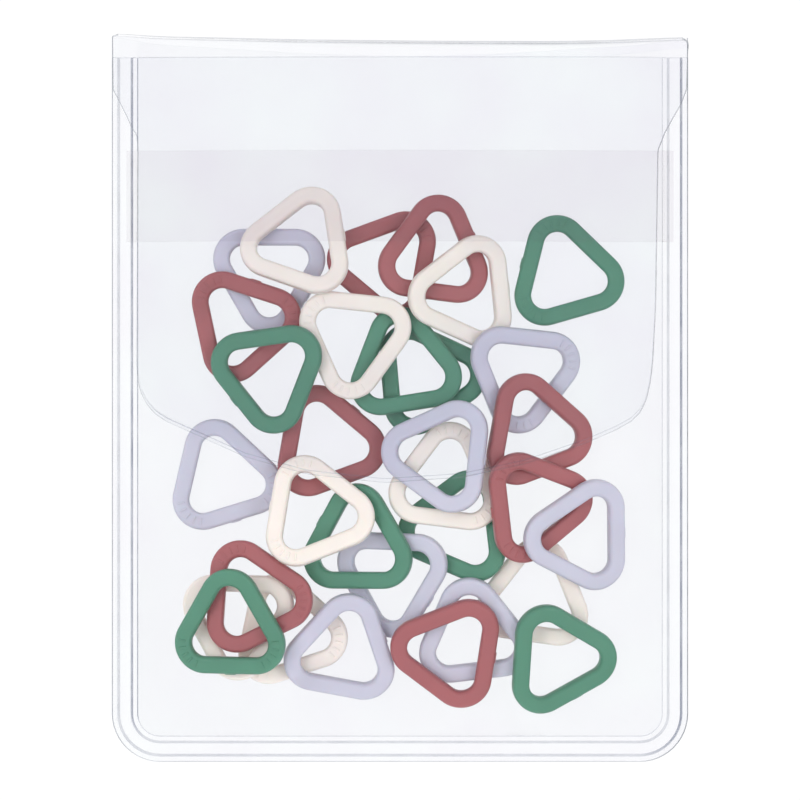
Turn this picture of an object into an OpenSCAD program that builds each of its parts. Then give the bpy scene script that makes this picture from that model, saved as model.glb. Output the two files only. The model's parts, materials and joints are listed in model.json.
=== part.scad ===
// Triangular ring stitch markers, packed loose in a clear pouch with a tuck-in flap.
// The pouch lies on its back: +X to the right, +Y toward the fold of the flap, +Z up.
// The origin is on the surface that it lies on, below the middle of the pouch.
// All sizes are in millimetres.

/* [Marker] */
// Width of one ring over two of its corners
marker_w = 14.6; // [11:0.1:20]
// Outer radius of a ring's corners
marker_corner_r = 3.95; // [3.2:0.05:5.5]
// Width of the bar that the ring is made of
band_w = 2.2; // [1.2:0.1:2.8]
// Thickness of the ring
marker_t = 1.6; // [1.2:0.1:2.4]
// Rounding of the bar's edges
edge_r = 0.5; // [0.2:0.05:0.55]
// Length of the gate mark on one side of a ring
gate_l = 1.4; // [0.8:0.1:2.5]
// Height of the gate mark above that side
gate_h = 0.12; // [0.05:0.01:0.2]

/* [Pouch] */
// Thickness of the clear film
film = 0.3; // [0.2:0.05:0.5]
// Width of the weld along the sides and the bottom
weld_w = 2.8; // [2:0.1:5]
// Free width between the pile of rings and each side weld
side_room = 3.5; // [2.5:0.1:15]
// Free length between the pile and the bottom weld
bottom_room = 2.7; // [2:0.1:15]
// Free length between the pile and the pocket's mouth
top_room = 16.15; // [10:0.05:40]
// Length from the pocket's mouth to the fold of the flap
mouth_setback = 3.35; // [3.2:0.05:10]
// Height of the pocket's mouth
mouth_h = 4.2; // [3:0.1:4.8]
// Radius of the pouch's bottom corners
pouch_corner_r = 6; // [4:0.5:12]

/* [Flap] */
// Length of the flap from the fold to the tip of the tongue
flap_l = 58.5; // [45:0.5:75]
// Length of the wide part of the flap below the fold
ear_l = 8.15; // [6:0.05:12]
// Length from the fold to where the flap has narrowed to the tongue
taper_l = 15.4; // [13:0.1:20]
// Distance of the tongue's side edge from the side weld
tongue_inset = 0.9; // [0.5:0.1:6]
// Radius of the tongue's long end arc
tongue_end_r = 59; // [45:1:120]
// Radius of the tongue's two corners
tongue_corner_r = 7; // [4:0.5:12]

/* [Strap] */
// Width of the strap that holds the tongue down
strap_l = 12; // [6:0.5:20]
// Length from the fold to the strap's upper edge
strap_drop = 15.4; // [14:0.1:22]

/* [Fit] */
// Clearance between two films that lie on each other
film_gap = 0.2; // [0.1:0.05:0.4]
// Height left free between two rings that cross
ring_gap = 0.2; // [0.15:0.05:0.5]

/* [Hidden] */
$fn = 64;
// The places in the list are those of rings this wide and this thick with this gap
listed_w = 14.6;
listed_t = 1.6;
listed_gap = 0.2;
spread = marker_w / listed_w;
lift = (marker_t + ring_gap) / (listed_t + listed_gap);

// Ring
core_side = marker_w - 2 * marker_corner_r;
core_corner = core_side / sqrt(3);
mid_r = marker_corner_r - band_w / 2;
bar_y = core_corner / 2 + mid_r;
gate_t = marker_t - 2 * edge_r;
join_l = 0.25;
join_step = 0.02;

// Room that the pile takes, as listed
pile_half_w = 31.2 * spread;
pile_low = 42 * spread;
pile_high = 28 * spread;
pile_h = 8.7 * lift;
crest_end = 15 * spread;

// Pouch
pocket_w = 2 * (pile_half_w + side_room);
pouch_w = pocket_w + 2 * weld_w;
pouch_h = weld_w + bottom_room + pile_low + pile_high + top_room + mouth_setback;
pouch_low = -pouch_h / 2;
fold_y = pouch_h / 2;
pocket_low = pouch_low + weld_w;
pile_y = pocket_low + bottom_room + pile_low;
mouth_y = fold_y - mouth_setback;
crest_y = pile_y + crest_end;
pocket_corner_r = pouch_corner_r - weld_w / 2;

// The flange begins this far inside the foot of the bulge
flange_in = film / 5;

// Fold: the flap leaves the back panel here and comes to lie on the front panel
fold_r = (3 * film + mouth_h + film_gap) / 2;
fold_mid_y = fold_y - fold_r;
crease_r = film / 2;
crease_y = fold_y - crease_r;
crease_z = fold_r;
crease_angle = 2 * asin((2 * crease_r + 0.02) / (2 * (fold_r - crease_r)));

// Flap and strap
tongue_w = pocket_w - 2 * tongue_inset;
tongue_tip_y = fold_y - flap_l;
ear_y = fold_y - ear_l;
taper_y = fold_y - taper_l;
flap_lift = film + film_gap;
strap_lift = 2 * (film + film_gap);
strap_high_y = fold_y - strap_drop;
// The pocket's top falls this much per unit of length toward its mouth
fall = (pile_h - mouth_h) / (mouth_y - crest_y);
// Slope growth: a side at 45 degrees moves out this much per unit of its normal at its foot
foot_grow = sqrt(2);
crest_grow = sqrt(2) - 1;
slab = 0.01;
overrun = 1.5;

// Each ring: colour, number, x, y, turn, height of its middle over the back panel, tips about X and Y
MARKERS = [
    ["cream", 1, -13, 20, 100, 4.3, -18, -6],
    ["cream", 2, 8.5, 13.5, 97, 3.5, 3, 18],
    ["cream", 3, -6, 7.5, 294, 4.7, 0, 0],
    ["cream", 4, -11, -15, 262, 6.4, -10, -5],
    ["cream", 5, 6, -11, 113, 3.6, -5, 0],
    ["cream", 6, 17.5, -26, 112, 1, 0, 0],
    ["cream", 7, -21, -29, 59, 2.7, -1, -9],
    ["cream", 8, -14.5, -30.5, 18, 1, 0, 0],
    ["lavender", 1, -17, 16, 60, 1, 0, 0],
    ["lavender", 2, 16, 3, 54, 2.7, 9, 13],
    ["lavender", 3, 5.25, -7.5, 84, 6.5, -1, -11],
    ["lavender", 4, -23, -10.5, 17, 1, 0, 0],
    ["lavender", 5, 23.5, -18, 94, 4.1, 10, 18],
    ["lavender", 6, -1, -23.5, 58, 2.6, 7, -13],
    ["lavender", 7, -7.5, -33, 109, 3.3, 15, 5],
    ["lavender", 8, 9.5, -31, 7, 2.9, 15, -2],
    ["rose", 1, -20.5, 9.5, 162, 2.9, 0, 0],
    ["rose", 2, -1.75, 17.25, 80, 1, 0, 0],
    ["rose", 3, 4.5, 18.5, 113, 2.7, -1, 13],
    ["rose", 4, -9.5, -6, 140, 2, -1, 7],
    ["rose", 5, 17.5, -4.5, 20, 3.9, 2, 17],
    ["rose", 6, 17.5, -14, 280, 4.9, 10, 18],
    ["rose", 7, -19, -26, 146, 4.8, -1, -9],
    ["rose", 8, 6.5, -33, 82, 4.4, 15, 1],
    ["green", 1, 21.5, 16, 256, 1, 0, 0],
    ["green", 2, -17, 3, 308, 5.7, 7, -7],
    ["green", 3, 0.5, 4, 129, 2.9, 0, 0],
    ["green", 4, 3.5, 2.5, 35, 1, 0, 0],
    ["green", 5, -5.5, -19, 240, 3.9, 4, -16],
    ["green", 6, 7.5, -17, 97, 1.9, -6, -5],
    ["green", 7, -22, -30, 359, 6.2, 7, -12],
    ["green", 8, 20.5, -34, 30, 3.3, 15, 13],
];
COLOURS = [["cream", "#e9e1dc"], ["lavender", "#bfbed2"], ["rose", "#a4686c"], ["green", "#5f917f"]];

function marker_name(m) = str(m[0], "_marker_", m[1]);
function colour_of(name) = [for (c = COLOURS) if (c[0] == name) c[1]][0];
// A listed tip holds for the listed sizes; a flatter or wider pile tips less
function tip(listed) = atan(tan(listed) * lift / spread);

// Ring

// Section of the ring's bar about the origin: a rectangle with rounded corners, smaller by inset all round
module band_section(inset) {
    square([band_w - 2 * edge_r, marker_t - 2 * inset], center = true);
    square([band_w - 2 * inset, marker_t - 2 * edge_r], center = true);
    for (sx = [-1, 1], sy = [-1, 1])
        translate([sx * (band_w / 2 - edge_r), sy * (marker_t / 2 - edge_r)]) circle(r = edge_r - inset);
}

// One corner of the ring, an arc of a third of a turn
module ring_corner() {
    translate([0, core_corner, 0]) rotate(30)
        rotate_extrude(angle = 120) translate([mid_r, 0]) band_section(0);
}

// One straight side of the ring, a hair slimmer than the corners, so that its ends are inside them
module ring_side() {
    translate([-core_side / 2 - join_l, -bar_y, 0]) rotate([90, 0, 90])
        linear_extrude(core_side + 2 * join_l) band_section(join_step);
}

// What the mould's gate left in the middle of one side
module gate_mark() {
    depth = gate_h + band_w / 4;
    translate([-gate_l / 2, -bar_y - band_w / 2 - gate_h, -gate_t / 2]) cube([gate_l, depth, gate_t]);
}

module ring_marker() {
    for (k = [0 : 2]) rotate(120 * k) {
        ring_corner();
        ring_side();
    }
    gate_mark();
}

// A ring where it lies in the pile
module placed_marker(m) {
    color(colour_of(m[0]))
        translate([m[2] * spread, pile_y + m[3] * spread, film + m[5] * lift])
            rotate([tip(m[6]), tip(m[7]), 0]) rotate(m[4]) ring_marker();
}

// Pouch

// Rectangle from y0 to y1 with its two lower corners rounded
module low_rounded(w, y0, y1, r) {
    translate([-w / 2, y0 + r]) square([w, y1 - y0 - r]);
    translate([-w / 2 + r, y0]) square([w - 2 * r, r + slab]);
    for (s = [-1, 1]) translate([s * (w / 2 - r), y0 + r]) circle(r = r);
}

// Space inside the bulged pocket, grown by g on every side
module pocket_space(g) {
    end_h = mouth_h - fall * overrun;
    foot_w = pocket_w + 2 * foot_grow * g;
    crest_w = pocket_w - 2 * pile_h + 2 * crest_grow * g;
    end_w = pocket_w - 2 * end_h + 2 * crest_grow * g;
    crest_low = pocket_low + pile_h - crest_grow * g;
    end_y = mouth_y + overrun;
    hull() {
        translate([0, 0, film - 1]) linear_extrude(1)
            low_rounded(foot_w, pocket_low - foot_grow * g, end_y, pocket_corner_r);
        translate([0, 0, film + pile_h + g - slab]) linear_extrude(slab)
            low_rounded(crest_w, crest_low, crest_y, pocket_corner_r);
        translate([-end_w / 2, end_y - slab, film]) cube([end_w, slab, end_h + g]);
    }
}

// A film that lies over the pocket at the given height above its inside, from y0 to y1
module draped_film(height, y0, y1) {
    intersection() {
        difference() {
            pocket_space(height + film);
            pocket_space(height);
        }
        translate([-pouch_w / 2, y0, film]) cube([pouch_w, y1 - y0, pile_h + 4 * strap_lift]);
    }
}

// Part of the round fold between two angles, along the pouch's whole width
module fold_arc(from, to) {
    reach = 2 * fold_r;
    mid = (from + to) / 2;
    translate([0, fold_mid_y, crease_z]) rotate([90, 0, 90])
        linear_extrude(pouch_w, center = true) intersection() {
            difference() {
                circle(r = fold_r);
                circle(r = fold_r - film);
            }
            polygon([[0, 0], for (a = [from, mid, to]) [reach * cos(a), reach * sin(a)]]);
        }
}

module back_panel() {
    color("#e8edf2", 0.35) {
        linear_extrude(film) low_rounded(pouch_w, pouch_low, fold_mid_y, pouch_corner_r);
        fold_arc(-90, -crease_angle);
    }
}

module front_panel() {
    color("#dfe6ee", 0.35) {
        translate([0, 0, film]) linear_extrude(film) difference() {
            low_rounded(pouch_w, pouch_low, mouth_y, pouch_corner_r);
            low_rounded(pocket_w + 2 * flange_in, pocket_low - flange_in, mouth_y + 1, pocket_corner_r);
        }
        draped_film(0, pouch_low, mouth_y);
    }
}

// Outline of the tongue: straight sides, round corners and a long end arc
module tongue_outline() {
    r = tongue_corner_r;
    corner_x = tongue_w / 2 - r;
    arc_mid_y = tongue_tip_y + tongue_end_r;
    corner_y = arc_mid_y - sqrt(pow(tongue_end_r - r, 2) - pow(corner_x, 2));
    intersection() {
        translate([0, arc_mid_y]) circle(r = tongue_end_r, $fn = 180);
        translate([-corner_x, tongue_tip_y - 1]) square([2 * corner_x, fold_y - tongue_tip_y]);
    }
    translate([-tongue_w / 2, corner_y]) square([tongue_w, mouth_y - corner_y]);
    for (s = [-1, 1]) translate([s * corner_x, corner_y]) circle(r = r);
}

// Outline of the whole flap below the fold
module flap_outline() {
    tongue_outline();
    polygon([[-pouch_w / 2, fold_mid_y], [-pouch_w / 2, ear_y], [-tongue_w / 2, taper_y],
        [tongue_w / 2, taper_y], [pouch_w / 2, ear_y], [pouch_w / 2, fold_mid_y]]);
}

// Space below the flap's ears, from the pocket's section where the flap has narrowed to the full
// width of the fold; more room at the sides and below leaves only the upper film when two are cut
module ear_space(g, more) {
    h = mouth_h + fall * (mouth_y - taper_y);
    foot = pocket_w / 2 + foot_grow * g + film;
    top = pocket_w / 2 - h + crest_grow * g;
    side = pouch_w / 2 + film + more;
    low = film + more;
    hull() {
        translate([0, taper_y, film]) rotate([90, 0, 0]) linear_extrude(slab)
            polygon([[-foot, -film], [foot, -film], [top, h + g], [-top, h + g]]);
        translate([-side, mouth_y, film + mouth_h - low]) cube([2 * side, slab, g + low]);
    }
}

module tuck_flap() {
    color("#e4eaf1", 0.35) {
        intersection() {
            union() {
                draped_film(flap_lift, tongue_tip_y - 1, taper_y);
                difference() {
                    ear_space(flap_lift + film, 0);
                    ear_space(flap_lift, film);
                }
            }
            linear_extrude(pile_h + 4 * strap_lift) flap_outline();
        }
        // The strip behind the fold
        translate([-pouch_w / 2, mouth_y, 2 * fold_r - film])
            cube([pouch_w, fold_mid_y - mouth_y, film]);
        fold_arc(0, 90);
        // The crease that the flap turns about
        translate([-pouch_w / 2, crease_y, crease_z]) rotate([0, 90, 0]) cylinder(r = crease_r, h = pouch_w);
    }
}

module strap() {
    foot_in = pocket_w / 2 + 0.5;
    low_y = strap_high_y - strap_l;
    color("#d3dbe6", 0.35) {
        intersection() {
            draped_film(strap_lift, low_y, strap_high_y);
            translate([-pouch_w / 2, low_y, 2 * film]) cube([pouch_w, strap_l, 2 * pile_h]);
        }
        // The feet that are welded onto the side welds
        for (s = [0, 1]) mirror([s, 0, 0])
            translate([foot_in, low_y, 2 * film]) cube([pouch_w / 2 - foot_in, strap_l, film]);
    }
}

back_panel();
front_panel();
tuck_flap();
strap();
for (m = MARKERS)
    placed_marker(m);
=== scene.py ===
import json
import math

import bmesh
import bpy
import numpy as np
from bpy.props import FloatProperty, FloatVectorProperty, PointerProperty
from mathutils import Matrix, Vector


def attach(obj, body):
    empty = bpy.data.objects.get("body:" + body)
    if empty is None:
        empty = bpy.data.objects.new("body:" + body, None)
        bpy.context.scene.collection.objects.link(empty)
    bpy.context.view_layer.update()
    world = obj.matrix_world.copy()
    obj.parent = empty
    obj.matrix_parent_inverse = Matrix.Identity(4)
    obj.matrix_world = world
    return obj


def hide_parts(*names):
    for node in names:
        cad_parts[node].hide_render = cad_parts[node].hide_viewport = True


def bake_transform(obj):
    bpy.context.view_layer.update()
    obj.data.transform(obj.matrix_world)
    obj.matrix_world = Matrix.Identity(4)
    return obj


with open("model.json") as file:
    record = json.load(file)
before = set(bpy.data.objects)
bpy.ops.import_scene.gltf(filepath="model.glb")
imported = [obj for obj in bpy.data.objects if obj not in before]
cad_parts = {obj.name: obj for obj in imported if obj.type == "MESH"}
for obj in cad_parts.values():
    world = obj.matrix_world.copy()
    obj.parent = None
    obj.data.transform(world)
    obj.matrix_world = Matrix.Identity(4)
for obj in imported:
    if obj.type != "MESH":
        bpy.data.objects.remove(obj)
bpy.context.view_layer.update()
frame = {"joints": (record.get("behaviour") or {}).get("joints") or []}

bl_info = {
    "name": "Ring stitch markers in a clear pouch",
    "version": (1, 0, 0),
    "blender": (4, 5, 0),
    "location": "View3D > Sidebar > Stitch markers",
    "description": "Moulded ring stitch markers, loose in a welded clear pouch with a tuck-in flap",
    "category": "Object",
}

MM = 0.001
PHOTO_PIXELS = 800
PIXELS_PER_MM = 7.7
PHOTO_SHIFT = -3  # pixels by which the picture's middle is above the pouch's

# The pouch, in millimetres, seen from above with its middle at the origin
HALF_WIDTH = 37.5
BOTTOM_Y = -47.5
FOLD_Y = 47.53
MOUTH_Y = 44.1
TOP_RADIUS = 2.3
WELD_IN = 3.3
STRAP_HALF = 35.6
STRAP_LOW, STRAP_HIGH = 20.16, 32.04

# Material slots of every film
CLEAR, CUT, DARK_LINE, FUSED, STRAP = range(5)

# Each ring: colour, number, x, y, turn, height of its middle over the back panel, tips about X and Y.
# True in the last place marks a ring that lies with its ribbed face up.
RINGS = [
    ("cream", 1, -13, 20, 100, 4.3, -18, -6, False),
    ("cream", 2, 8.5, 13.5, 97, 3.5, 3, 18, False),
    ("cream", 3, -6, 7.5, 294, 4.7, 0, 0, True),
    ("cream", 4, -11, -15, 262, 6.4, -10, -5, True),
    ("cream", 5, 6, -11, 113, 3.6, -5, 0, True),
    ("cream", 6, 17.5, -26, 112, 1, 0, 0, False),
    ("cream", 7, -21, -29, 59, 2.7, -1, -9, False),
    ("cream", 8, -14.5, -30.5, 18, 1, 0, 0, True),
    ("lavender", 1, -17, 16, 60, 1, 0, 0, False),
    ("lavender", 2, 16, 3, 54, 2.7, 9, 13, True),
    ("lavender", 3, 5.25, -7.5, 84, 6.5, -1, -11, False),
    ("lavender", 4, -23, -10.5, 17, 1, 0, 0, True),
    ("lavender", 5, 23.5, -18, 94, 4.1, 10, 18, False),
    ("lavender", 6, -1, -23.5, 58, 2.6, 7, -13, False),
    ("lavender", 7, -7.5, -33, 109, 3.3, 15, 5, False),
    ("lavender", 8, 9.5, -31, 7, 2.9, 15, -2, False),
    ("rose", 1, -20.5, 9.5, 162, 2.9, 0, 0, True),
    ("rose", 2, -1.75, 17.25, 80, 1, 0, 0, True),
    ("rose", 3, 4.5, 18.5, 113, 2.7, -1, 13, False),
    ("rose", 4, -9.5, -6, 140, 2, -1, 7, False),
    ("rose", 5, 17.5, -4.5, 20, 3.9, 2, 17, False),
    ("rose", 6, 17.5, -14, 280, 4.9, 10, 18, True),
    ("rose", 7, -19, -26, 146, 4.8, -1, -9, True),
    ("rose", 8, 6.5, -33, 82, 4.4, 15, 1, False),
    ("green", 1, 21.5, 16, 256, 1, 0, 0, True),
    ("green", 2, -17, 3, 308, 5.7, 7, -7, False),
    ("green", 3, 0.5, 4, 129, 2.9, 0, 0, False),
    ("green", 4, 3.5, 2.5, 35, 1, 0, 0, False),
    ("green", 5, -5.5, -19, 240, 3.9, 4, -16, False),
    ("green", 6, 7.5, -17, 97, 1.9, -6, -5, False),
    ("green", 7, -22, -30, 359, 6.2, 7, -12, True),
    ("green", 8, 20.5, -34, 30, 3.3, 15, 13, False),
]

# Outlines in millimetres, seen from above
FOLD_EDGE = [(-37.5, 47.3), (-36.3, 47.3), (-34.8, 47.1), (-31, 46.9), (-25.7, 46.8), (-13, 46.5),
             (4, 46.32), (21, 46.27), (27.7, 46.4), (32.4, 46.6), (37.5, 46.8)]
# The flap's sides as pairs of y and x, and its free end as pairs of x and y
FLAP_LEFT = [(-12, -34.15), (4.2, -34.15), (32.5, -34.0), (34.2, -34.2), (35, -34.8), (36.2, -35.3),
             (39, -36.7), (40, -37.25), (48, -37.35)]
FLAP_RIGHT = [(-12, 33.0), (8, 33.0), (12.6, 33.2), (32.1, 33.5), (34.4, 34.4), (36.4, 35.5),
              (38.1, 36.5), (40, 37.2), (48, 37.4)]
FLAP_END = [(-34.15, 4.2), (-34.0, 2.2), (-33.6, 0.6), (-32.9, -0.8), (-31.8, -2.1), (-30.3, -3.1),
            (-28.5, -3.9), (-26, -5.0), (-20, -7.7), (-12, -9.9), (-2, -11.0), (8, -10.3), (16, -8.6),
            (24, -5.9), (28, -4.2), (30, -3.1), (31.2, -1.9), (32, -0.2), (32.5, 2), (32.8, 4.5),
            (33.0, 8)]


# Sizes and colours that a user would change

def length(name, text, value):
    return FloatProperty(name=name, description=text, default=value * MM, unit="LENGTH")


def hex_colour(code):
    """The linear colour of an sRGB hex value."""
    parts = [int(code[i:i + 2], 16) / 255 for i in (1, 3, 5)]
    return tuple(c / 12.92 if c <= 0.04045 else ((c + 0.055) / 1.055) ** 2.4 for c in parts)


def colour(name, text, code):
    return FloatVectorProperty(name=name, description=text, default=hex_colour(code),
                               subtype="COLOR", size=3)


class RingSettings(bpy.types.PropertyGroup):
    width: length("Width", "Width of a ring over two of its corners", 14.6)
    corner: length("Corner radius", "Outer radius of a ring's corners", 3.95)
    bar: length("Bar", "Width of the bar that a ring is made of", 2.2)
    thick: length("Thickness", "Thickness of a ring", 1.6)
    edge: length("Edge rounding", "Rounding of the bar's edges", 0.5)
    rib: length("Rib height", "Height of the grip ribs at two corners", 0.1)
    cream: colour("Cream", "Colour of the cream rings", "#F1E8DF")
    lavender: colour("Lavender", "Colour of the lavender rings", "#C6C5D4")
    rose: colour("Rose", "Colour of the dusty rose rings", "#A45E61")
    green: colour("Green", "Colour of the grey-green rings", "#528971")


class PouchSettings(bpy.types.PropertyGroup):
    film: length("Film", "Thickness of the clear film", 0.3)
    corner: length("Corner radius", "Radius of the pouch's bottom corners", 6.3)
    cut: length("Cut edge", "Width of the rounding that the cutting die leaves on the film's edge", 0.12)
    tint: colour("Tint", "What one face of a film lets through", "#FDFEFE")
    strap_tint: colour("Strap tint", "What one face of the strap's greyer film lets through", "#FCFCFC")
    # The edge and weld tints are painted shade: their grey stands in for the dark surroundings seen through
    # the film's cut edges and steep walls
    edge_shade_tint: colour("Edge tint", "Colour of the film's cut edge", "#8E9299")
    weld_wall_shade_tint: colour("Weld tint", "Colour of the walls beside the pressed weld", "#70768A")


class StageSettings(bpy.types.PropertyGroup):
    floor: colour("Floor", "Colour of the floor", "#FAFAFA")
    key: FloatProperty(name="Key light", description="Power that the soft lamps share out",
                       default=1.3, min=0, unit="POWER")
    sky: FloatProperty(name="Sky", description="Strength of the even light from all round",
                       default=0.95, min=0)


# Small tools

def add(tree, kind, settings=None, **inputs):
    """Adds a node with its settings, and with its inputs set to values or linked to sockets."""
    node = tree.nodes.new(kind)
    for name, value in (settings or {}).items():
        setattr(node, name, value)
    for name, value in inputs.items():
        key = int(name[1:]) if name[0] == "_" else name.replace("_", " ")
        if isinstance(value, bpy.types.NodeSocket):
            tree.links.new(value, node.inputs[key])
        else:
            node.inputs[key].default_value = value
    return node


def new_material(name):
    material = bpy.data.materials.new(name)
    material.use_nodes = True
    material.node_tree.nodes.clear()
    return material, material.node_tree


def per_mm(size):
    """The scale of a pattern whose features are that many millimetres across."""
    return 1 / (size * MM)


def clear_selection():
    if bpy.context.object and bpy.context.object.mode != "OBJECT":
        bpy.ops.object.mode_set(mode="OBJECT")
    bpy.ops.object.select_all(action="DESELECT")


def make_only(obj):
    clear_selection()
    obj.select_set(True)
    bpy.context.view_layer.objects.active = obj


def smooth(obj, angle):
    make_only(obj)
    bpy.ops.object.shade_smooth_by_angle(angle=math.radians(angle))


# Materials

def moulded_plastic(name, rgb):
    """Injection-moulded polypropylene: the fine spark-eroded mould leaves a satin skin, a little
    translucent at the thin edges, with faint clouds where the pigment has flowed."""
    material, tree = new_material(name)
    place = add(tree, "ShaderNodeTexCoord").outputs["Object"]
    cloud = add(tree, "ShaderNodeTexNoise", Vector=place, Scale=per_mm(5), Detail=3.0)
    grain = add(tree, "ShaderNodeTexNoise", Vector=place, Scale=per_mm(0.22), Detail=2.0)
    dark = tuple(c * 0.93 for c in rgb) + (1,)
    pale = tuple(min(1, c * 1.05) for c in rgb) + (1,)
    tone = add(tree, "ShaderNodeMix", {"data_type": "RGBA"}, _0=cloud.outputs["Fac"], _6=dark, _7=pale)
    shine = add(tree, "ShaderNodeMapRange", Value=grain.outputs["Fac"], To_Min=0.3, To_Max=0.42)
    skin = add(tree, "ShaderNodeBump", Height=grain.outputs["Fac"], Strength=0.12, Distance=0.03 * MM)
    body = add(tree, "ShaderNodeBsdfPrincipled", Base_Color=tone.outputs[2], Roughness=shine.outputs[0],
               Normal=skin.outputs[0], IOR=1.49, Subsurface_Weight=0.12, Subsurface_Scale=0.5 * MM)
    add(tree, "ShaderNodeOutputMaterial", Surface=body.outputs[0])
    return material


def clear_vinyl(name, tint):
    """Calendered clear PVC film: it lets nearly all light through, greyer with each layer and each cloud of
    haze, and mirrors its surroundings in a skin with a faint ripple from the calender's rollers."""
    material, tree = new_material(name)
    place = add(tree, "ShaderNodeTexCoord").outputs["Object"]
    ripple = add(tree, "ShaderNodeTexNoise", Vector=place, Scale=per_mm(6), Detail=2.0)
    haze = add(tree, "ShaderNodeTexNoise", Vector=place, Scale=per_mm(14), Detail=4.0)
    skin = add(tree, "ShaderNodeBump", Height=ripple.outputs["Fac"], Strength=0.5, Distance=0.05 * MM)
    grey = tuple(c * dim for c, dim in zip(tint, (0.988, 0.975, 0.989))) + (1,)
    tone = add(tree, "ShaderNodeMix", {"data_type": "RGBA"}, _0=haze.outputs["Fac"], _6=grey,
               _7=tuple(tint) + (1,))
    through = add(tree, "ShaderNodeBsdfTransparent", Color=tone.outputs[2])
    mirror = add(tree, "ShaderNodeBsdfGlossy", Color=(1, 1, 1, 1), Roughness=0.12, Normal=skin.outputs[0])
    share = add(tree, "ShaderNodeFresnel", IOR=1.16, Normal=skin.outputs[0])
    share = add(tree, "ShaderNodeMath", {"operation": "MINIMUM"}, _0=share.outputs[0], _1=0.8)
    film = add(tree, "ShaderNodeMixShader", _0=share.outputs[0], _1=through.outputs[0],
               _2=mirror.outputs[0])
    add(tree, "ShaderNodeOutputMaterial", Surface=film.outputs[0])
    return material


def shaded_edge_vinyl(name, tint, faint, opacity, roughness):
    """The same vinyl where it is cut or pressed, and on the fold's outer line, drawn as a grey, partly
    opaque skin: painted shade standing in for the dark surroundings that these sloped walls show, heaviest
    on the walls that face left, with a noise that varies it at random."""
    material, tree = new_material(name)
    place = add(tree, "ShaderNodeTexCoord").outputs["Object"]
    wave = add(tree, "ShaderNodeTexNoise", Vector=place, Scale=per_mm(3), Detail=2.0)
    # Painted shade: walls that face left and a little up the picture get more of the grey skin, from a
    # fixed direction and not from the lamps
    facing = add(tree, "ShaderNodeVectorMath", {"operation": "DOT_PRODUCT"}, _1=(-0.96, 0.28, 0),
                 _0=add(tree, "ShaderNodeNewGeometry").outputs["Normal"])
    painted_left_shade = add(tree, "ShaderNodeMapRange", Value=facing.outputs["Value"], From_Min=0.2, From_Max=0.7,
                 To_Min=faint, To_Max=opacity)
    density_and_shade = add(tree, "ShaderNodeMapRange", Value=wave.outputs["Fac"], From_Min=0.3, From_Max=0.7,
                To_Min=0.7)
    density_and_shade = add(tree, "ShaderNodeMath", {"operation": "MULTIPLY"}, _0=density_and_shade.outputs[0],
                _1=painted_left_shade.outputs[0])
    through = add(tree, "ShaderNodeBsdfTransparent", Color=(0.97, 0.975, 0.985, 1))
    body = add(tree, "ShaderNodeBsdfPrincipled", Base_Color=tuple(tint) + (1,), Roughness=roughness,
               IOR=1.5)
    rod = add(tree, "ShaderNodeMixShader", _0=density_and_shade.outputs[0], _1=through.outputs[0], _2=body.outputs[0])
    add(tree, "ShaderNodeOutputMaterial", Surface=rod.outputs[0])
    return material


def film_materials():
    """The five finishes of the film, in the order of their slots."""
    pouch = bpy.context.scene.pouch_settings
    if "clear_pvc_film" not in bpy.data.materials:
        clear_vinyl("clear_pvc_film", pouch.tint)
        clear_vinyl("strap_pvc_film", pouch.strap_tint)
        # The cut-edge finish and the dark-line finish paint shade onto the film
        shaded_edge_vinyl("die_cut_pvc_edge_painted_shade", pouch.edge_shade_tint, 0.12, 0.7, 0.3)
        shaded_edge_vinyl("dark_line_pvc_painted_shade", pouch.weld_wall_shade_tint, 0.18, 0.9, 0.25)
        clear_vinyl("fused_pvc_film", (0.991, 0.999, 0.998))
    order = ("clear_pvc_film", "die_cut_pvc_edge_painted_shade", "dark_line_pvc_painted_shade", "fused_pvc_film", "strap_pvc_film")
    return [bpy.data.materials[name] for name in order]


# Rings

BAR_STEPS = 6


def ring_blank(ring):
    """One ring about the origin, flat, with grip ribs at two corners of its upper face."""
    side = ring.width - 2 * ring.corner
    centre = side / math.sqrt(3)
    mid = ring.corner - ring.bar / 2
    clear_selection()
    bpy.ops.mesh.primitive_plane_add(size=1, rotation=(math.pi / 2, 0, 0), location=(0, 0, 0))
    blank = bpy.context.object
    blank.name = "ring_blank"
    bpy.ops.object.transform_apply(rotation=True)
    bpy.ops.object.mode_set(mode="EDIT")
    bpy.ops.transform.resize(value=(ring.bar, 1, ring.thick))
    bpy.ops.mesh.bevel(offset=ring.edge, segments=5, affect="VERTICES")
    bpy.ops.transform.translate(value=(mid, 0, 0))
    bpy.ops.transform.rotate(value=-math.radians(30), orient_axis="Z", center_override=(0, 0, 0))
    bpy.ops.transform.translate(value=(0, centre, 0))
    for k in range(3):
        about = math.radians(90 + 120 * k)
        corner = (centre * math.cos(about), centre * math.sin(about), 0)
        # With no window, spin and rotate turn the other way, hence the minus signs
        bpy.ops.mesh.spin(steps=26, angle=-2 * math.pi / 3, center=corner, axis=(0, 0, 1))
        heading = math.radians(90 + 120 * k + 150)
        step = (side / BAR_STEPS * math.cos(heading), side / BAR_STEPS * math.sin(heading), 0)
        for _ in range(BAR_STEPS):
            bpy.ops.mesh.extrude_region_move(TRANSFORM_OT_translate={"value": step})
    edit = bmesh.from_edit_mesh(blank.data)
    bmesh.ops.delete(edit, geom=[f for f in edit.faces if len(f.verts) > 4], context="FACES_ONLY")
    bmesh.update_edit_mesh(blank.data)
    bpy.ops.mesh.select_all(action="SELECT")
    bpy.ops.mesh.remove_doubles(threshold=0.002 * MM)
    bpy.ops.mesh.normals_make_consistent(inside=False)
    bpy.ops.object.mode_set(mode="OBJECT")
    for extra in [gate_mark(ring, centre)] + grip_ribs(ring, centre, mid):
        unite(blank, extra)
    smooth(blank, 40)
    return blank


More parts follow.
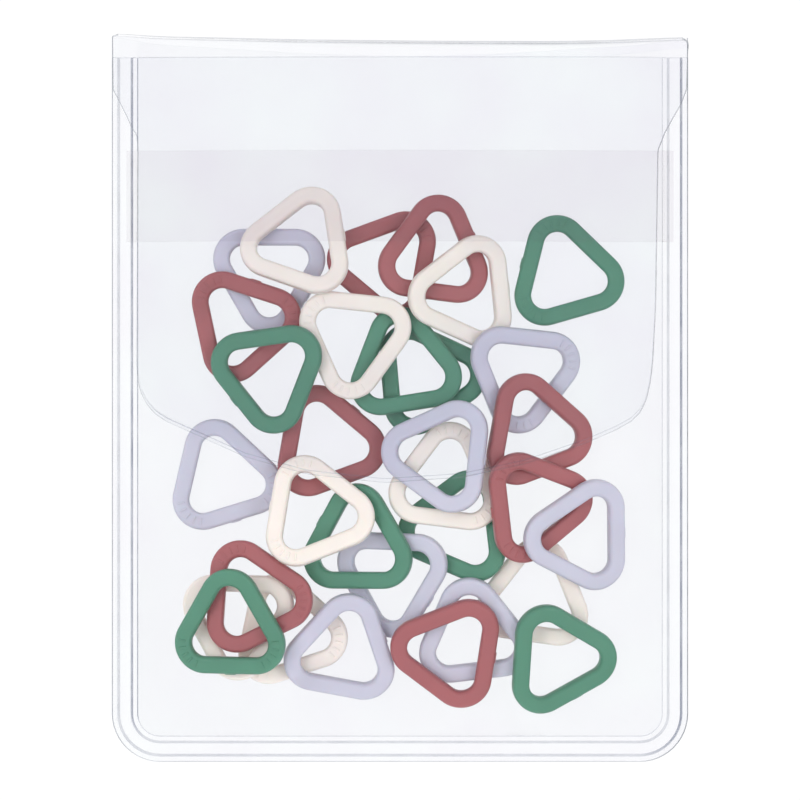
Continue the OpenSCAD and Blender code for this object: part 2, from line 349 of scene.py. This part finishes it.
def small_block(size, place, turn, rounding):
    """A bevelled block of that size, turned about Z."""
    clear_selection()
    bpy.ops.mesh.primitive_cube_add(size=1, location=(0, 0, 0))
    block = bpy.context.object
    bpy.ops.object.mode_set(mode="EDIT")
    bpy.ops.transform.resize(value=size)
    bpy.ops.mesh.bevel(offset=rounding, segments=2, affect="EDGES")
    bpy.ops.object.mode_set(mode="OBJECT")
    block.data.transform(Matrix.Translation(place) @ Matrix.Rotation(turn, 4, "Z"))
    return block


def gate_mark(ring, centre):
    """The flat stub that is left in the middle of one side, where the plastic came in."""
    low = centre / 2 + ring.corner
    return small_block((1.4 * MM, 0.6 * MM, 0.6 * MM), (0, -low + 0.18 * MM, 0), 0, 0.08 * MM)


def grip_ribs(ring, centre, mid):
    """Five short ribs on each of two corners."""
    ribs = []
    for about in (210, 330):
        corner = Vector((centre * math.cos(math.radians(about)), centre * math.sin(math.radians(about)), 0))
        for k in range(-2, 3):
            turn = math.radians(about + 19 * k)
            place = corner + mid * Vector((math.cos(turn), math.sin(turn), 0))
            place.z = ring.thick / 2
            ribs.append(small_block((0.95 * MM, 0.3 * MM, 2 * ring.rib), place, turn, 0.07 * MM))
    return ribs


def unite(body, extra):
    make_only(body)
    join = body.modifiers.new("join", "BOOLEAN")
    join.operation, join.solver, join.object = "UNION", "EXACT", extra
    bpy.ops.object.modifier_apply(modifier=join.name)
    bpy.data.objects.remove(extra, do_unlink=True)


def ring_place(row, film):
    """Where a ring lies in the pile, as a matrix."""
    _, _, x, y, turn, height, tip_x, tip_y, _ = row
    return (Matrix.Translation((x * MM, y * MM, film + height * MM))
            @ Matrix.Rotation(math.radians(tip_y), 4, "Y") @ Matrix.Rotation(math.radians(tip_x), 4, "X")
            @ Matrix.Rotation(math.radians(turn), 4, "Z"))


def lay_rings(shade):
    """Copies the ring to each place of one colour in the pile."""
    scene = bpy.context.scene
    ring = scene.ring_settings
    blank = bpy.data.objects.get("ring_blank") or ring_blank(ring)
    material = moulded_plastic("moulded_polypropylene_" + shade, getattr(ring, shade))
    turn_over = Matrix.Rotation(math.pi, 4, "Y")
    for row in RINGS:
        if row[0] != shade:
            continue
        node = f"{shade}_marker_{row[1]}"
        piece = blank.copy()
        piece.data = blank.data.copy()
        piece.name = f"{shade}_ring_{row[1]}"
        scene.collection.objects.link(piece)
        side_up = Matrix() if row[8] else turn_over
        piece.data.transform(ring_place(row, scene.pouch_settings.film) @ side_up)
        piece.data.materials.clear()
        piece.data.materials.append(material)
        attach(piece, node)
        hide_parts(node)


# Film: heights are worked out on a grid over the pouch, in millimetres

STEP = 0.5
GRID_X = np.arange(-HALF_WIDTH, HALF_WIDTH + 0.01, STEP)
GRID_Y = np.arange(BOTTOM_Y, 48.01, STEP)
GAP = 0.07  # between a film and what it lies on
REST = 0.02  # between the two panels where they are welded
ROOM = 0.1  # kept round a ring
HEIGHTS = {}


def along(points, at):
    """Straight-line reading of a list of points."""
    return np.interp(at, [p[0] for p in points], [p[1] for p in points])


def fold_radius(x):
    """Outer radius of the round fold, which is pinched toward its ends, where the edge lies further out."""
    return np.clip((FOLD_Y - blurred_line(x)) / 0.57, 0.52, TOP_RADIUS)


def blurred_line(x):
    """The fold's edge seen from above, with its corners eased."""
    total = 0
    for shift, weight in ((-2, 0.25), (0, 0.5), (2, 0.25)):
        total = total + weight * along(FOLD_EDGE, np.asarray(x) + shift)
    return total


def four_beside(padded):
    """The sum of the four neighbours of each point."""
    return padded[:-2, 1:-1] + padded[2:, 1:-1] + padded[1:-1, :-2] + padded[1:-1, 2:]


def blur(field, times):
    """A light smoothing, repeated."""
    for _ in range(times):
        padded = np.pad(field, 1, mode="edge")
        field = (4 * field + four_beside(padded)) / 8
    return field


def ring_tops(film):
    """The highest ring surface over each grid point, or 0, wherever the rings' slides take them."""
    ring = bpy.context.scene.ring_settings
    side, corner, bar = ((ring.width - 2 * ring.corner) / MM, ring.corner / MM, ring.bar / MM)
    half = ring.thick / MM / 2 + ROOM
    rim = [np.array((math.cos(a), math.sin(a))) * side / math.sqrt(3)
           for a in (math.radians(90 + 120 * k) for k in range(3))]
    gx, gy = np.meshgrid(GRID_X, GRID_Y)
    top = np.zeros_like(gx)
    slides = {joint["child"]: joint for joint in frame["joints"]}
    shifts = [(row, share) for row in RINGS for share in (0, 0.5, 1, None)]
    for row, share in shifts:
        place = ring_place(row, film * MM)
        turn = np.array(place.to_3x3())
        middle = np.array(place.translation) / MM + turn[:, 2] * half
        if share is not None:
            slide = slides[f"{row[0]}_marker_{row[1]}"]
            low, high = (end / MM for end in slide["range_m"])
            middle = middle + np.array(slide["axis"]) * (low + share * (high - low))
        normal = turn[:, 2]
        z = middle[2] - (normal[0] * (gx - middle[0]) + normal[1] * (gy - middle[1])) / normal[2]
        local = np.stack([gx - middle[0], gy - middle[1], z - middle[2]], -1) @ turn
        flat = local[..., :2]
        away = np.full(gx.shape, 99.0)
        for k in range(3):
            a, b = rim[k], rim[(k + 1) % 3]
            nearest = np.clip(((flat - a) @ (b - a)) / ((b - a) @ (b - a)), 0, 1)
            away = np.minimum(away, np.linalg.norm(flat - a - nearest[..., None] * (b - a), axis=-1))
        on_bar = (away < corner + 2 * ROOM) & (away > corner - bar - 2 * ROOM)
        inside = np.ones(gx.shape, bool)
        for k in range(3):
            a, b = rim[k], rim[(k + 1) % 3]
            inside &= ((b - a)[0] * (flat[..., 1] - a[1]) - (b - a)[1] * (flat[..., 0] - a[0])) > 0
        top = np.maximum(top, np.where(on_bar & ~inside, z, 0))
    return top


def draped(film):
    """Heights of the undersides of the front panel, the flap and the strap, pulled tight over the rings."""
    if HEIGHTS:
        return HEIGHTS
    gx, gy = np.meshgrid(GRID_X, GRID_Y)
    floor = film + REST
    under = np.maximum(ring_tops(film) + GAP, floor)
    mouth = np.clip(2 * fold_radius(GRID_X) - 2 * film - 2 * GAP - 0.05, floor, None)
    mouth_end, ease = 34.4, 5
    mouth = floor + (mouth - floor) * np.clip((mouth_end - np.abs(GRID_X)) / ease, 0, 1) ** 0.5
    half, low, soft = HALF_WIDTH - WELD_IN, BOTTOM_Y + WELD_IN, 3.2
    corner_x, corner_y = np.abs(gx) - (half - soft), (low + soft) - gy
    pinned = (np.abs(gx) >= half) | (gy <= low) | (
        (corner_x > 0) & (corner_y > 0) & (np.hypot(corner_x, corner_y) > soft))
    mouth_row = int(round((MOUTH_Y - BOTTOM_Y) / STEP))
    wall = np.minimum(half - np.abs(gx), gy - low)
    slope, highest = 0.8, 8.5
    front = np.clip(floor + slope * wall, floor, highest)
    front[mouth_row:] = mouth
    fixed = pinned.copy()
    fixed[mouth_row:] = True
    front = np.where(pinned, floor, front)
    odd = (np.add.outer(np.arange(len(GRID_Y)), np.arange(len(GRID_X))) % 2).astype(bool)
    for _ in range(500):
        for part in (odd, ~odd):
            padded = np.pad(front, 1, mode="edge")
            mean = four_beside(padded) / 4
            pulled = np.maximum(front + 1.85 * (mean - front), under)  # 1.85 speeds the settling up
            front = np.where(part & ~fixed, pulled, front)
    for _ in range(4):
        front = np.where(fixed, front, np.maximum(blur(front, 6), under))
    front = np.where(fixed, front, blur(front, 2) + 0.03)
    cover = front + film + GAP
    weld_top = film + 0.44
    cover = np.maximum(cover, weld_top)
    flap = cover.copy()
    for _ in range(5):
        flap = np.maximum(blur(flap, 30), cover)
    flap = blur(flap, 6) + 0.04
    reach = blurred_line(GRID_X) - fold_radius(GRID_X)
    lead = 9  # length over which the flap comes off the pile and runs into the fold
    near = np.clip((gy - (reach - lead)) / lead, 0, 1)
    near = near * near * (3 - 2 * near)
    flap = flap * (1 - near) + (2 * fold_radius(GRID_X) - film) * near
    strap = blur(np.maximum(flap, front + film + GAP) + film + GAP, 6) + 0.03
    HEIGHTS.update(front=front, flap=flap, strap=strap)
    return HEIGHTS


def height(name, x, y):
    """A height field between its grid points."""
    field = HEIGHTS[name]
    u = np.clip((np.asarray(x) - GRID_X[0]) / STEP, 0, len(GRID_X) - 1.001)
    v = np.clip((np.asarray(y) - GRID_Y[0]) / STEP, 0, len(GRID_Y) - 1.001)
    i, j = v.astype(int), u.astype(int)
    s, t = v - i, u - j
    return ((field[i, j] * (1 - t) + field[i, j + 1] * t) * (1 - s)
            + (field[i + 1, j] * (1 - t) + field[i + 1, j + 1] * t) * s)


def film_piece(name, top, low, sides, marks, cut, edge=CUT):
    """A film from its upper and lower grids of points, in millimetres. sides names the first row, the last
    column, the last row and the first column: "cut" is a rounded cut edge, "flush" a plain end, "shut"
    a side that closes on itself. marks gives the material slot of each row of faces, and edge that of the
    cut edges."""
    rows, columns = top.shape[:2]
    index = np.arange(rows * columns).reshape(rows, columns)
    points = list(top.reshape(-1, 3)) + list(low.reshape(-1, 3))
    below = rows * columns
    ring = ([(0, j) for j in range(columns - 1)] + [(i, columns - 1) for i in range(rows - 1)]
            + [(rows - 1, j) for j in range(columns - 1, 0, -1)] + [(i, 0) for i in range(rows - 1, 0, -1)])
    kinds = ([sides[0]] * (columns - 1) + [sides[1]] * (rows - 1) + [sides[2]] * (columns - 1)
             + [sides[3]] * (rows - 1))
    middle = {}
    count = len(ring)
    for k, (i, j) in enumerate(ring):
        if "cut" not in (kinds[k], kinds[k - 1]):
            continue
        before, after = ring[k - 1], ring[(k + 1) % count]
        if kinds[k] != "cut":
            after = (i, j)
        if kinds[k - 1] != "cut":
            before = (i, j)
        tangent = top[after] - top[before]
        up = top[i, j] - low[i, j]
        out = np.cross(tangent, up)
        inner = top[min(max(i, 1), rows - 2), min(max(j, 1), columns - 2)]
        out = out / max(np.linalg.norm(out), 1e-9)
        if out @ (top[i, j] - inner) < 0:
            out = -out
        middle[i, j] = len(points)
        points.append((top[i, j] + low[i, j]) / 2 + cut * out)
    faces, slots = [], []
    for i in range(rows - 1):
        for j in range(columns - 1):
            quad = [index[i, j], index[i, j + 1], index[i + 1, j + 1], index[i + 1, j]]
            faces += [quad, [q + below for q in reversed(quad)]]
            slots += [marks[i], marks[i]]
    for k in range(count):
        a, b = ring[k], ring[(k + 1) % count]
        ta, tb, la, lb = index[a], index[b], index[a] + below, index[b] + below
        if kinds[k] == "cut":
            faces += [[ta, middle[a], middle[b], tb], [middle[a], la, lb, middle[b]]]
            slots += [edge, edge]
        elif kinds[k] == "flush":
            faces.append([ta] + ([middle[a]] if a in middle else []) + [la, lb]
                         + ([middle[b]] if b in middle else []) + [tb])
            slots.append(CLEAR)
    mesh = bpy.data.meshes.new(name)
    mesh.from_pydata([tuple(float(c) * MM for c in p) for p in points], [],
                     [[int(q) for q in f] for f in faces])
    for face, slot in zip(mesh.polygons, slots):
        face.material_index = slot
    for material in film_materials():
        mesh.materials.append(material)
    piece = bpy.data.objects.new(name, mesh)
    bpy.context.scene.collection.objects.link(piece)
    make_only(piece)
    bpy.ops.object.mode_set(mode="EDIT")
    bpy.ops.mesh.select_all(action="SELECT")
    bpy.ops.mesh.remove_doubles(threshold=0.001 * MM)
    bpy.ops.mesh.normals_make_consistent(inside=False)
    bpy.ops.object.mode_set(mode="OBJECT")
    smooth(piece, 30)
    return piece


def bag_path(inset, top_edge, radius):
    """Points down one side of the bag, round the bottom and up the other side, that far inside its outline.
    top_edge gives the upper end's y for an x."""
    half, low = max(HALF_WIDTH - inset, 0), BOTTOM_Y + inset
    r = min(max(radius - inset, 0.5), half * 0.98)
    left = [(-half, y) for y in np.linspace(float(top_edge(-half)), low + r, 110)]
    turn = [(-half + r - r * math.cos(a), low + r - r * math.sin(a))
            for a in np.linspace(0, math.pi / 2, 13)[1:-1]]
    bottom = [(x, low) for x in np.linspace(-half + r, 0, 43)]
    path = left + turn + bottom
    return np.array(path + [(-x, y) for x, y in reversed(path[:-1])])


# The height of the weld's upper face at each distance in from the bag's outline
WELD_PROFILE = [(0, 0.56), (0.15, 0.64), (0.45, 0.68), (0.68, 0.66), (0.95, 0.42), (1.2, 0.40), (2.3, 0.40),
                (2.4, 0.43), (2.65, 0.66), (2.85, 0.74), (3.1, 0.74), (3.25, 0.70)]
# The walls beside the pressed weld, which show as dark lines; their darkness is painted shade
WELD_LINES = ((0.62, 0.92), (2.3, 2.7), (3.16, 3.32))
# The rows of a panel, as distances in from its outline: close together in the weld, then wider
INSETS = [0, 0.08, 0.15, 0.3, 0.45, 0.58, 0.68, 0.8, 0.95, 1.1, 1.3, 1.8, 2.2, 2.3, 2.4, 2.53, 2.65, 2.75,
          2.85, 3.1, 3.18, 3.3, 3.45, 3.7, 4.0, 4.4] + list(np.linspace(5, HALF_WIDTH, 42))


class FilmOperator:
    """What the four film operators share"""
    bl_options = {"REGISTER", "UNDO"}

    def sizes(self):
        """The film, the rounding of its cut edge and the pouch's corner, in millimetres."""
        pouch = bpy.context.scene.pouch_settings
        draped(pouch.film / MM)
        return pouch.film / MM, pouch.cut / MM, pouch.corner / MM


class POUCH_OT_back_panel(FilmOperator, bpy.types.Operator):
    """Makes the back panel, which lies flat"""
    bl_idname = "pouch.back_panel"
    bl_label = "Back panel"

    def execute(self, context):
        film, cut, corner = self.sizes()
        rows = []
        for inset in INSETS:
            path = bag_path(inset + cut, lambda x: blurred_line(x) - fold_radius(x), corner)
            rows.append(np.column_stack([path, np.full(len(path), film)]))
        top = np.array(rows)
        low = top.copy()
        low[..., 2] = 0
        marks = [FUSED if inset < WELD_IN else CLEAR for inset in INSETS[1:]]
        piece = film_piece("back_film", top, low, ("cut", "flush", "shut", "flush"), marks, cut)
        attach(piece, "pouch")
        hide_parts("back_panel")
        return {"FINISHED"}


class POUCH_OT_front_panel(FilmOperator, bpy.types.Operator):
    """Makes the front panel with its weld, draped over the rings"""
    bl_idname = "pouch.front_panel"
    bl_label = "Front panel"

    def execute(self, context):
        film, cut, corner = self.sizes()
        tops, lows = [], []
        for inset in INSETS:
            path = bag_path(inset + cut, lambda x: MOUTH_Y, corner)
            under = height("front", path[:, 0], path[:, 1])
            draped_top = under + film
            weld_top = np.full(len(path), along(WELD_PROFILE, inset))
            share = min(max((inset - 3.2) / 0.5, 0), 1)
            upper = weld_top * (1 - share) + draped_top * share
            lower = np.where(share > 0, under, film + REST)
            tops.append(np.column_stack([path, upper]))
            lows.append(np.column_stack([path, lower]))
        marks = []
        for middle in [(a + b) / 2 for a, b in zip(INSETS, INSETS[1:])]:
            # The walls beside the weld take the dark-line finish, which is painted shade
            wall = any(low < middle < high for low, high in WELD_LINES)
            marks.append(DARK_LINE if wall else FUSED if middle < WELD_IN else CLEAR)
        piece = film_piece("front_film", np.array(tops), np.array(lows), ("cut", "cut", "shut", "cut"),
                           marks, cut)
        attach(piece, "pouch")
        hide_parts("front_panel")
        return {"FINISHED"}


class POUCH_OT_flap(FilmOperator, bpy.types.Operator):
    """Makes the flap with the round fold that it hangs from"""
    bl_idname = "pouch.flap"
    bl_label = "Tuck-in flap"

    def execute(self, context):
        film, cut, _ = self.sizes()
        columns, arc_rows, plain_rows = 121, 15, 82
        across = np.sin(np.linspace(-1, 1, columns) * math.pi / 2)
        at_end = np.where(across < 0, across * -FLAP_END[0][0], across * FLAP_END[-1][0])
        fold_x = np.where(across < 0, across * -FLAP_LEFT[-1][1], across * FLAP_RIGHT[-1][1])
        radius = fold_radius(fold_x)
        reach = blurred_line(fold_x) - radius
        rows = []
        for angle in np.linspace(-math.pi / 2, math.pi / 2, arc_rows):
            narrow = 1 - 0.02 * math.cos(angle) ** 4  # rounds the fold's two corners
            rows.append((fold_x * narrow, reach + (radius - film / 2) * math.cos(angle),
                         radius + (radius - film / 2) * math.sin(angle)))
        end = along(FLAP_END, at_end)
        for share in list(np.linspace(0, 0.985, plain_rows)[1:]) + [0.9912, 0.9932, 1]:
            y = reach + share * (end - reach)
            left, right = along(FLAP_LEFT, y), along(FLAP_RIGHT, y)
            x = np.where(across < 0, -across * left, across * right)
            rows.append((x, y, height("flap", x, y) + film / 2))
        middle = np.array([np.column_stack(r) for r in rows])
        du = np.gradient(middle, axis=1)
        dv = np.gradient(middle, axis=0)
        normal = np.cross(dv, du)
        normal /= np.maximum(np.linalg.norm(normal, axis=-1, keepdims=True), 1e-9)
        centre = columns // 2
        if normal[-10, centre, 2] < 0:
            normal = -normal
        top, low = middle + normal * film / 2, middle - normal * film / 2
        marks = []
        for k, y in enumerate(middle[1:, centre, 1]):
            outermost = 4 < k < 9  # the fold's outer line, where the film is seen edge-on; it gets the dark-line finish as painted shade
            marks.append(DARK_LINE if outermost else FUSED if y > MOUTH_Y and k != 9 else CLEAR)
        marks[-2] = DARK_LINE  # a fine line just inside the tongue's edge
        piece = film_piece("flap_film", top, low, ("flush", "cut", "cut", "cut"), marks, cut)
        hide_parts("tuck_flap")
        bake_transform(piece)
        return {"FINISHED"}


class POUCH_OT_strap(FilmOperator, bpy.types.Operator):
    """Makes the strap that holds the flap's tongue down"""
    bl_idname = "pouch.strap"
    bl_label = "Strap"

    def execute(self, context):
        film, cut, _ = self.sizes()
        across = np.sin(np.linspace(-1, 1, 131) * math.pi / 2) * STRAP_HALF
        tops, lows = [], []
        for y in np.linspace(STRAP_LOW + cut, STRAP_HIGH - cut, 25):
            under = height("strap", across, np.full(len(across), y))
            over_weld = np.interp(np.abs(across), [33.4, 34.2, 34.5, 34.9, 35.2], [9, 1.1, 0.8, 0.5, 0.43])
            under = np.minimum(under, over_weld)
            lows.append(np.column_stack([across, np.full(len(across), y), under]))
            tops.append(np.column_stack([across, np.full(len(across), y), under + film]))
        piece = film_piece("strap_film", np.array(tops), np.array(lows), ("cut", "flush", "cut", "flush"),
                           [STRAP] * (len(tops) - 1), cut, edge=STRAP)
        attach(piece, "pouch")
        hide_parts("strap")
        return {"FINISHED"}


class RINGS_OT_cream(bpy.types.Operator):
    """Lays the cream rings"""
    bl_idname = "rings.cream"
    bl_label = "Cream rings"

    def execute(self, context):
        lay_rings("cream")
        return {"FINISHED"}


class RINGS_OT_lavender(bpy.types.Operator):
    """Lays the lavender rings"""
    bl_idname = "rings.lavender"
    bl_label = "Lavender rings"

    def execute(self, context):
        lay_rings("lavender")
        return {"FINISHED"}


class RINGS_OT_rose(bpy.types.Operator):
    """Lays the dusty rose rings"""
    bl_idname = "rings.rose"
    bl_label = "Rose rings"

    def execute(self, context):
        lay_rings("rose")
        return {"FINISHED"}


class RINGS_OT_green(bpy.types.Operator):
    """Lays the grey-green rings"""
    bl_idname = "rings.green"
    bl_label = "Green rings"

    def execute(self, context):
        lay_rings("green")
        return {"FINISHED"}


# Stage

def seen_directly(tree):
    """1 for what the camera sees, also in a mirror or through glass, and 0 for what only lights things."""
    path = add(tree, "ShaderNodeLightPath")
    seen = add(tree, "ShaderNodeMath", {"operation": "MAXIMUM"}, _0=path.outputs["Is Camera Ray"],
               _1=path.outputs["Is Glossy Ray"])
    seen = add(tree, "ShaderNodeMath", {"operation": "MAXIMUM"}, _0=seen.outputs[0],
               _1=path.outputs["Is Transmission Ray"])
    return seen.outputs[0]


def floor_material(rgb):
    """Matt white acrylic lit from below: pale and even, with only a trace of the object's shadow."""
    material, tree = new_material("white_acrylic_floor")
    plain = add(tree, "ShaderNodeBsdfDiffuse", Color=tuple(rgb) + (1,))
    below = add(tree, "ShaderNodeEmission", Color=(1, 1, 1, 1), Strength=0.3)
    plain = add(tree, "ShaderNodeAddShader", _0=plain.outputs[0], _1=below.outputs[0])
    faint = add(tree, "ShaderNodeBsdfDiffuse", Color=(0.07, 0.07, 0.07, 1))
    glow = add(tree, "ShaderNodeEmission", Color=(1, 1, 1, 1), Strength=0.945)
    lit = add(tree, "ShaderNodeAddShader", _0=faint.outputs[0], _1=glow.outputs[0])
    shown = add(tree, "ShaderNodeMixShader", _0=seen_directly(tree), _1=plain.outputs[0],
                _2=lit.outputs[0])
    add(tree, "ShaderNodeOutputMaterial", Surface=shown.outputs[0])
    return material


def white_world(sky):
    """White where it is seen, and a plain even light elsewhere."""
    world = bpy.data.worlds.new("white_surround")
    bpy.context.scene.world = world
    world.use_nodes = True
    tree = world.node_tree
    tree.nodes.clear()
    light = add(tree, "ShaderNodeBackground", Color=(1, 1, 1, 1), Strength=sky)
    white = add(tree, "ShaderNodeBackground", Color=(1, 1, 1, 1), Strength=1.0)
    shown = add(tree, "ShaderNodeMixShader", _0=seen_directly(tree), _1=light.outputs[0],
                _2=white.outputs[0])
    add(tree, "ShaderNodeOutputWorld", Surface=shown.outputs[0])


def aimed_lamp(name, place, power, size):
    clear_selection()
    bpy.ops.object.light_add(type="AREA", location=place)
    lamp = bpy.context.object
    lamp.name = name
    lamp.data.shape, lamp.data.size, lamp.data.energy = "DISK", size, power
    lamp.rotation_euler = (-Vector(place)).to_track_quat("-Z", "Y").to_euler()
    return lamp


class STAGE_OT_studio(bpy.types.Operator):
    """Sets up the floor, the soft lamps, the white surround and the camera over the pouch"""
    bl_idname = "stage.studio"
    bl_label = "Studio"

    def execute(self, context):
        scene = bpy.context.scene
        stage = scene.stage_settings
        clear_selection()
        bpy.ops.mesh.primitive_plane_add(size=3, location=(0, 0, -0.02 * MM))
        floor = bpy.context.object
        floor.name = "floor"
        floor.data.materials.append(floor_material(stage.floor))
        aimed_lamp("low_strip", (0.08, -0.5, 0.15), 0.1 * stage.key, 0.3)
        for name, place, share in (("left_softbox", (-0.4, 0.05, 0.72), 1.5),
                                   ("right_softbox", (0.4, -0.1, 0.72), 1.05)):
            lamp = aimed_lamp(name, place, share * stage.key, 0.4)
            lamp.visible_glossy = False  # keeps white blots off the film, as a polarised lamp would
        white_world(stage.sky)
        lens, sensor = 400, 36
        across = PHOTO_PIXELS / PIXELS_PER_MM
        pile_height = 3 * MM
        bpy.ops.object.camera_add(location=(0, PHOTO_SHIFT / PIXELS_PER_MM * MM,
                                            lens / sensor * across * MM + pile_height),
                                  rotation=(0, 0, 0))
        camera = bpy.context.object
        camera.data.lens, camera.data.sensor_width = lens, sensor
        camera.data.clip_start, camera.data.clip_end = 0.01, 10
        scene.camera = camera
        scene.cycles.transparent_max_bounces = 48  # each film has two faces, and four films can overlap
        scene.view_settings.view_transform = "Standard"
        return {"FINISHED"}


STEPS = (POUCH_OT_back_panel, POUCH_OT_front_panel, POUCH_OT_flap, POUCH_OT_strap, RINGS_OT_cream,
         RINGS_OT_lavender, RINGS_OT_rose, RINGS_OT_green, STAGE_OT_studio)


class VIEW3D_PT_stitch_markers(bpy.types.Panel):
    """Lists the pieces"""
    bl_label = "Stitch markers"
    bl_space_type = "VIEW_3D"
    bl_region_type = "UI"
    bl_category = "Stitch markers"

    def draw(self, context):
        for step in STEPS:
            self.layout.operator(step.bl_idname)
        for name in ("ring_settings", "pouch_settings", "stage_settings"):
            group = getattr(context.scene, name)
            for item in group.bl_rna.properties:
                if item.identifier not in ("rna_type", "name"):
                    self.layout.prop(group, item.identifier)


CLASSES = (RingSettings, PouchSettings, StageSettings) + STEPS + (VIEW3D_PT_stitch_markers,)


def register():
    for item in CLASSES:
        bpy.utils.register_class(item)
    bpy.types.Scene.ring_settings = PointerProperty(type=RingSettings)
    bpy.types.Scene.pouch_settings = PointerProperty(type=PouchSettings)
    bpy.types.Scene.stage_settings = PointerProperty(type=StageSettings)


def unregister():
    del bpy.types.Scene.ring_settings, bpy.types.Scene.pouch_settings, bpy.types.Scene.stage_settings
    for item in reversed(CLASSES):
        bpy.utils.unregister_class(item)


def main():
    register()
    bpy.ops.stage.studio()
    bpy.ops.pouch.back_panel()
    bpy.ops.pouch.front_panel()
    bpy.ops.pouch.flap()
    bpy.ops.pouch.strap()
    bpy.ops.rings.cream()
    bpy.ops.rings.lavender()
    bpy.ops.rings.rose()
    bpy.ops.rings.green()
    bpy.data.objects.remove(bpy.data.objects["ring_blank"], do_unlink=True)
    bpy.context.view_layer.update()


if __name__ == "__main__":
    main()
